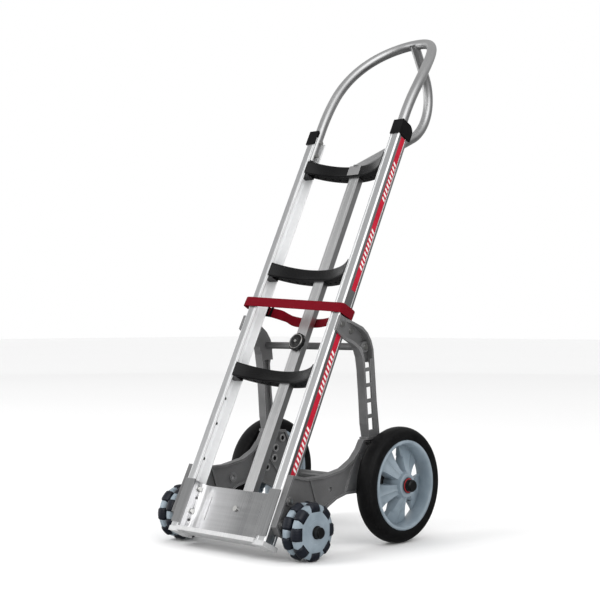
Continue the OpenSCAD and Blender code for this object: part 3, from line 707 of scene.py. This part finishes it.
def build_strap():
    """The webbing, lying on the rails' fronts and slack behind them."""
    line = smooth_line(STRAP_KNOTS, 8)
    centres = [strap_centre(x, d, lift) for x, d, lift, _ in line]
    n = len(line)
    up = (strap_centre(0, 0, 1) - strap_centre(0, 0, 0)).normalized()
    half, thick = 11.6, 0.8
    section = (
        (-half, 0), (-half + 0.5, -thick), (-7, -thick * 0.85), (0, -thick), (7, -thick * 0.85),
        (half - 0.5, -thick), (half, 0), (half - 0.5, thick), (7, thick * 0.85), (0, thick),
        (-7, thick * 0.85), (-half + 0.5, thick),
    )
    rings, weave, length = [], [], 0.0
    for i, c in enumerate(centres):
        way = (centres[(i + 1) % n] - centres[i - 1]).normalized()
        high = (up - way * up.dot(way)).normalized()
        out = way.cross(high).normalized()
        twist = Matrix.Rotation(math.radians(line[i][3]), 3, way)
        high, out = twist @ high, twist @ out
        ring = []
        for h, o in section:
            ripple = 0.35 * noise.noise(Vector((i * 0.09, h * 0.05, 3.0)))
            ring.append(c + (high * h + out * (o + ripple)) * MM)
            weave.append((length, h * MM))
        rings.append(ring)
        length += (centres[(i + 1) % n] - c).length
    shape = closed_skin(rings)
    strap = make("strap_webbing", *shape, "strap", replaces=["strap"], slot="red_webbing", uv=weave)
    strap.modifiers.new("smooth", "SUBSURF").levels = 1
    strap.modifiers["smooth"].render_levels = 1


build_strap()


def buckle_place(u, v, w):
    """A point on the buckle: along the strap, across it, and out from it."""
    a = math.radians(10.9)  # how far the strap's rear run is turned from straight across
    x, d = u * math.cos(a) - w * math.sin(a), u * math.sin(a) + w * math.cos(a)
    return strap_centre(-125 + x, 46.9 + d, v)


def buckle_bar(u0, u1, v0, v1, w0, w1):
    return slab([(u0, v0), (u1, v0), (u1, v1), (u0, v1)], buckle_place, w0, w1)


bars = [buckle_bar(-13, -9.5, -14, 14, -6.5, -1.5)]
bars += [buckle_bar(-2.2, 2.2, -14, 14, -5.5, -1.8)]
bars += [buckle_bar(9.5, 13, -14, 14, -6.5, -1.5)]
bars += [buckle_bar(-13, 13, v, v + 2.8, -6.5, -1.2) for v in (-14, 11.2)]
bars += [buckle_bar(-2.6, 2.6, v, v + 1.2, -6.4, -5.2) for v in range(-9, 10, 3)]
make("strap_buckle_frame", *merged(bars), "black", replaces=["strap_buckle"], slot="black_plastic", bevel=0.7)


# ---------------------------------------------------------------- knob


def knob_ring(profile, segments, shape=None):
    """A ring of revolution about the knob's axis from a closed [r, d] profile."""
    rings = []
    for i in range(segments):
        a = 2 * math.pi * i / segments
        ring = []
        for r, d in profile:
            k = r * (shape(a, r) if shape else 1)
            ring.append(rail(k * math.cos(a), d, KNOB_T + k * math.sin(a)))
        rings.append(ring)
    return closed_skin(rings)


def scallops(a, r):
    """Ten finger hollows round the grip."""
    return 1 - (0.055 if r > 15 else 0.0) * (0.5 + 0.5 * math.cos(10 * a)) ** 2


# [radius, depth] outlines round the knob's axis
GRIP = [(3.9, 49.8), (18.6, 49.8), (20.8, 49.2), (21.5, 47.8),
        (21.5, 43.2), (20.9, 41.8), (19.4, 41.2), (3.9, 41.2)]
RING = [(16.2, 41.3), (17.6, 41.3), (18.0, 40.4), (17.7, 39.4), (17.1, 39.0), (16.5, 39.3), (16.2, 40.0)]
FACE = [(2.0, 41.3), (16.3, 41.3), (16.3, 40.0), (14.2, 39.4),
        (13.2, 38.8), (8.0, 38.5), (7.4, 39.0), (2.0, 39.0)]
SCREW = [(0.7, 39.4), (3.3, 39.4), (3.3, 38.1), (2.8, 37.4), (1.6, 37.2), (1.5, 38.0), (0.7, 38.1)]
SHAFT = [(0.4, 49.0), (3.9, 49.0), (3.9, 72.2), (3.2, 73.0), (0.4, 73.0)]
NUT = [(0.5, 66.7), (7.3, 66.7), (8.0, 67.4), (8.0, 71.0), (7.3, 71.7), (0.5, 71.7)]
grip = knob_ring(GRIP, 160, scallops)
make("knob_grip", *grip, "gloss_black", "knob", replaces=["knob"], slot="black_plastic")
make("knob_ring", *knob_ring(RING, 96), "zinc", "knob", slot="zinc_steel")
make("knob_face", *knob_ring(FACE, 96), "gloss_black", "knob", slot="black_plastic")
make("knob_screw", *knob_ring(SCREW, 48), "zinc", "knob", slot="zinc_steel")
make("knob_shaft", *knob_ring(SHAFT, 32), "zinc", "knob", slot="zinc_steel")
make("knob_nut", *knob_ring(NUT, 6), "zinc", "knob", smooth=False, slot="zinc_steel", bevel=0.3)


# ---------------------------------------------------------------- ringed holes on the arms' inner sides


def ringed_holes(side, name):
    """Raised rings round blind holes, in an arc in front of the rear axle: the rings are in paler metal than
    the arm as painted highlight, and a black disc deep in each is painted shade for its hole.
    """
    raised = [(5.2, 143.4), (9.4, 143.4), (9.2, 141.6), (8.4, 140.9), (6.4, 140.9), (5.4, 141.6)]
    # the floor of each hole is a black disc: painted shade
    floor = [(0.2, 143.3), (5.3, 143.3), (5.3, 142.7), (0.2, 142.7)]
    middles = [truck(0, y, z) for y, z in ((222, 144), (247, 163), (251, 187), (274, 209))]
    rings = merged([lathe(middle, raised, 48, side) for middle in middles])
    # the rings take the paler clip metal, a painted highlight on the arm's casting
    make("arm_rings_" + name, *rings, "clip", slot="grey_casting")
    # black discs inside the rings: painted shade in the holes
    painted_hole_shade = merged([lathe(middle, floor, 48, side) for middle in middles])
    make("arm_ring_painted_shade_" + name, *painted_hole_shade, "black", slot="black_plastic")


def nut_cover(side, name):
    """A small closed wall on the arm's inner side, behind the nuts under the strut's foot."""
    outline = [(226, 212), (258, 212), (260, 214), (260, 223), (224, 223), (224, 214)]
    cover = slab(outline, lambda y, z, x: truck(side * x, y, z), 143.4, 145.0)
    make("arm_nut_cover_" + name, *cover, "cast", slot="grey_casting", bevel=0.3)


nut_cover(1, "right")
nut_cover(-1, "left")
ringed_holes(1, "right")
ringed_holes(-1, "left")


# ---------------------------------------------------------------- rear wheels

# [radius, x] outlines round the wheel's axis, with x from the wheel's middle
TYRE = [(98.6, -20), (104, -21.2), (111, -21.9), (116.5, -21.6), (120.5, -19.6), (122.4, -17.4), (122.9, -16.6),
        (122.2, -16.0), (123.3, -15.0), (125.0, -12.4), (126.2, -8.6), (126.8, -4.4), (127, 0),
        (126.8, 4.4), (126.2, 8.6), (125.0, 12.4), (123.3, 15.0), (122.2, 16.0), (122.9, 16.6), (122.4, 17.4),
        (120.5, 19.6), (116.5, 21.6), (111, 21.9), (104, 21.2), (101, 20.4), (98.6, 19.5), (98.4, 0)]
RIM = [(98.5, -19.8), (98.5, 19.8), (97.6, 21.6), (95.6, 22.6), (93.4, 22.4), (91.6, 21.0), (89.6, 17.0),
       (88.2, 9.0), (87.6, 0), (88.2, -9), (90.4, -18.4), (92, -19.8)]
BOSS = [(10.06, -26), (22.5, -26), (24, -24.5), (26, -12), (29, -4), (30.5, 3), (29.2, 12), (27.2, 21),
        (26.2, 25.0), (24.8, 26.0), (18.5, 26.0), (17.5, 25.2), (13.2, 25.2), (12.2, 26.0), (10.06, 26.0)]
WASHER = [(10.1, 26.2), (15.4, 26.2), (15.9, 26.8), (15.9, 28.0), (15.4, 28.4), (10.1, 28.4)]
CAP = [(10.2, 28.5), (13.6, 28.5), (13.6, 30.2), (12.6, 30.8), (13.5, 31.6), (13.5, 36.6), (13.0, 38.4),
       (11.6, 39.8), (9.6, 41.2), (8.6, 41.2), (8.2, 40.0), (0.3, 40.0), (0.3, 37)]


def spoke(centre, side, turn):
    """One deep moulded spoke: dished front with a raised middle line, flat sides and a hollow back."""
    rings = []
    for i in range(17):
        k = i / 16
        r = 25 + 66 * k
        half = 11 + 21 * k + 10 * k * k
        front = 21 - 31 * k**0.75
        back = -18.5 + 1.5 * k
        ring = []
        section = (
            (-half, back), (-half * 0.99, front - 4.0), (-half * 0.94, front - 2.2), (-half * 0.5, front - 1.6),
            (-1.6, front - 0.4), (0, front + 1.4), (1.6, front - 0.4), (half * 0.5, front - 1.6),
            (half * 0.94, front - 2.2), (half * 0.99, front - 4.0), (half, back), (half - 3, back - 0.2),
            (half - 3.4, front - 7.5), (0, front - 6.5), (-half + 3.4, front - 7.5), (-half + 3, back - 0.2),
        )
        for v, x in section:
            reach = math.sqrt(max(r * r - v * v, 1.0)) if k > 0.5 else r
            ring.append(wheel_point(centre, math.hypot(reach, v), turn + math.atan2(v, reach), x, side))
        rings.append(ring)
    return skin(rings)


def rear_wheel(side, name):
    body = "rear_wheel_" + name
    centre = truck(side * REAR_X, REAR_Y, REAR_R)
    tyre = lathe(centre, TYRE, 144, side)
    make("rear_tyre_" + name, *tyre, "tyre", body, replaces=["tyre_" + name], slot="tyre_rubber")
    parts = [lathe(centre, RIM, 120, side), lathe(centre, BOSS, 64, side)]
    parts += [spoke(centre, side, math.radians(36 + 72 * i)) for i in range(5)]
    make("rear_hub_" + name, *merged(parts), "hub", body, replaces=["hub_" + name], slot="hub_plastic")
    make("rear_washer_" + name, *lathe(centre, WASHER, 64, side), "washer", slot="axle_steel")
    make("rear_cap_" + name, *lathe(centre, CAP, 64, side), "gloss_black", slot="axle_steel")


rear_wheel(1, "right")
rear_wheel(-1, "left")


# ---------------------------------------------------------------- omni wheels


def barrel(s):
    """A roller's radius at s along its axis: the wheel's round tread, with three fine grooves."""
    groove = 0.35 if s in (-6, 0, 6) else 0.0
    return math.sqrt(OMNI_R * OMNI_R - s * s) - ROLLER_RING - groove


ROLLER = [(2.6, -13), (7.4, -13), (8.6, -12.7), (9.4, -11.9)]
ROLLER += [(barrel(s), s) for s in range(-10, 11)]
ROLLER += [(9.4, 11.9), (8.6, 12.7), (7.4, 13), (2.6, 13)]


def roller(side, letter, row, i):
    """A barrel roller at its place round the omni wheel, with fine moulded rings."""
    a = math.radians((i - 1) * 45 + (0 if row > 0 else 22.5))
    y, z = ROLLER_RING * math.sin(a), OMNI_R - ROLLER_RING * math.cos(a)
    middle = truck(side * (OMNI_X + OMNI_ROW * row), y, z)
    axis = Vector((0, math.cos(a), math.sin(a)))
    out = Vector((0, -math.sin(a), math.cos(a)))
    across = Vector((1, 0, 0))
    rings = []
    for k in range(28):
        b = 2 * math.pi * k / 28
        way = out * math.cos(b) + across * math.sin(b)
        rings.append([middle + (axis * s + way * r) * MM for r, s in ROLLER])
    cad = f"roller_{letter}_{'out' if row > 0 else 'in'}_{i}"
    make("moulded_" + cad, *closed_skin(rings), "roller", cad, replaces=[cad], slot="roller_rubber")


for side, letter in ((1, "r"), (-1, "l")):
    for row in (1, -1):
        for i in range(1, 9):
            roller(side, letter, row, i)


# ---------------------------------------------------------------- studio


def studio_floor(name, shade):
    """Matt pale paper with a hint of unevenness."""
    s = Shader(name)
    colour = s.mix(s.noise(0.6, 2.0), [shade] * 3, [shade * 0.985] * 3)
    return s.finish(colour, s.spread(s.noise(40, 2.0), 0, 1, 0.85, 0.9))


floor_mesh = bpy.data.meshes.new("floor")
floor_mesh.from_pydata([(-30, -30, 0), (30, -30, 0), (30, 30, 0), (-30, 30, 0)], [], [(0, 1, 2, 3)])
floor_mesh.materials.append(studio_floor("floor_white", 0.93))
floor = bpy.data.objects.new("floor", floor_mesh)
bpy.context.collection.objects.link(floor)
floor.visible_glossy = False

world = bpy.data.worlds.new("studio")
world.use_nodes = True
world.node_tree.nodes["Background"].inputs["Color"].default_value = (1, 1, 1, 1)
world.node_tree.nodes["Background"].inputs["Strength"].default_value = 1.0
bpy.context.scene.world = world


def reflected_room():
    """A dome that only shiny surfaces see: a dim room with the soft boxes in it."""
    work = bmesh.new()
    bmesh.ops.create_uvsphere(work, u_segments=64, v_segments=32, radius=9.0)
    mesh = bpy.data.meshes.new("reflected_room")
    work.to_mesh(mesh)
    work.free()
    mesh.shade_smooth()
    material = bpy.data.materials.new("reflected_room")
    material.use_nodes = True
    tree = material.node_tree
    tree.nodes.clear()
    place = add_node(tree, "ShaderNodeTexCoord").outputs["Object"]
    way = add_node(tree, "ShaderNodeVectorMath", {0: place}, operation="NORMALIZE").outputs["Vector"]
    height = add_node(tree, "ShaderNodeSeparateXYZ", {0: way}).outputs["Z"]
    dim = {"Value": height, "From Min": -0.5, "From Max": 0.6, "To Min": 0.14, "To Max": 0.5}
    level = add_node(tree, "ShaderNodeMapRange", dim).outputs[0]
    for aim, inner, outer, strength in SOFT_BOXES:
        sides = {0: way, 1: Vector(aim).normalized()}
        dot = add_node(tree, "ShaderNodeVectorMath", sides, operation="DOT_PRODUCT").outputs["Value"]
        low, high = math.cos(math.radians(outer)), math.cos(math.radians(inner))
        box = {"Value": dot, "From Min": low, "From Max": high, "To Max": strength}
        spot = add_node(tree, "ShaderNodeMapRange", box, interpolation_type="SMOOTHSTEP").outputs[0]
        level = add_node(tree, "ShaderNodeMath", {0: level, 1: spot}, operation="ADD").outputs[0]
    glow = add_node(tree, "ShaderNodeEmission", {"Strength": level})
    add_node(tree, "ShaderNodeOutputMaterial", {"Surface": glow.outputs[0]})
    mesh.materials.append(material)
    dome = bpy.data.objects.new("reflected_room", mesh)
    bpy.context.collection.objects.link(dome)
    dome.visible_camera = dome.visible_diffuse = dome.visible_shadow = False
    dome.visible_transmission = dome.visible_volume_scatter = False


# (direction, degrees out to full strength, degrees out to none, strength)
SOFT_BOXES = [
    ((0.72, -0.43, 0.6), 15, 35, 1.3),
    ((-0.4, -0.9, 0.3), 10, 28, 0.8),
    ((-0.95, -0.3, 0.0), 12, 30, 1.0),
    ((-0.9, 0.3, 0.3), 8, 22, 0.4),
    ((0.75, 0.65, 0.0), 10, 40, -0.2),
]
reflected_room()


def area_light(name, place, size, power):
    light = bpy.data.lights.new(name, "AREA")
    light.shape = "DISK"
    light.size = size
    light.energy = power
    lamp = bpy.data.objects.new(name, light)
    lamp.location = place
    lamp.visible_glossy = False
    lamp.rotation_euler = (Vector((0, 0, 0.5)) - Vector(place)).to_track_quat("-Z", "Y").to_euler()
    bpy.context.collection.objects.link(lamp)


area_light("key", (-1.6, -3.2, 3.4), 1.8, 70)
area_light("fill", (3.4, -1.2, 2.2), 2.2, 30)

camera = bpy.data.objects.new("camera", bpy.data.cameras.new("camera"))
camera.data.lens = 72.75
camera.data.sensor_width = 36
camera.data.sensor_fit = "HORIZONTAL"
camera.location = (1.8498, -1.8243 + AXLE_Y * MM, 0.4816)
camera.rotation_euler = (math.radians(91.1), 0, math.radians(42.69))
bpy.context.collection.objects.link(camera)
bpy.context.scene.camera = camera
bpy.context.scene.view_settings.view_transform = "Standard"
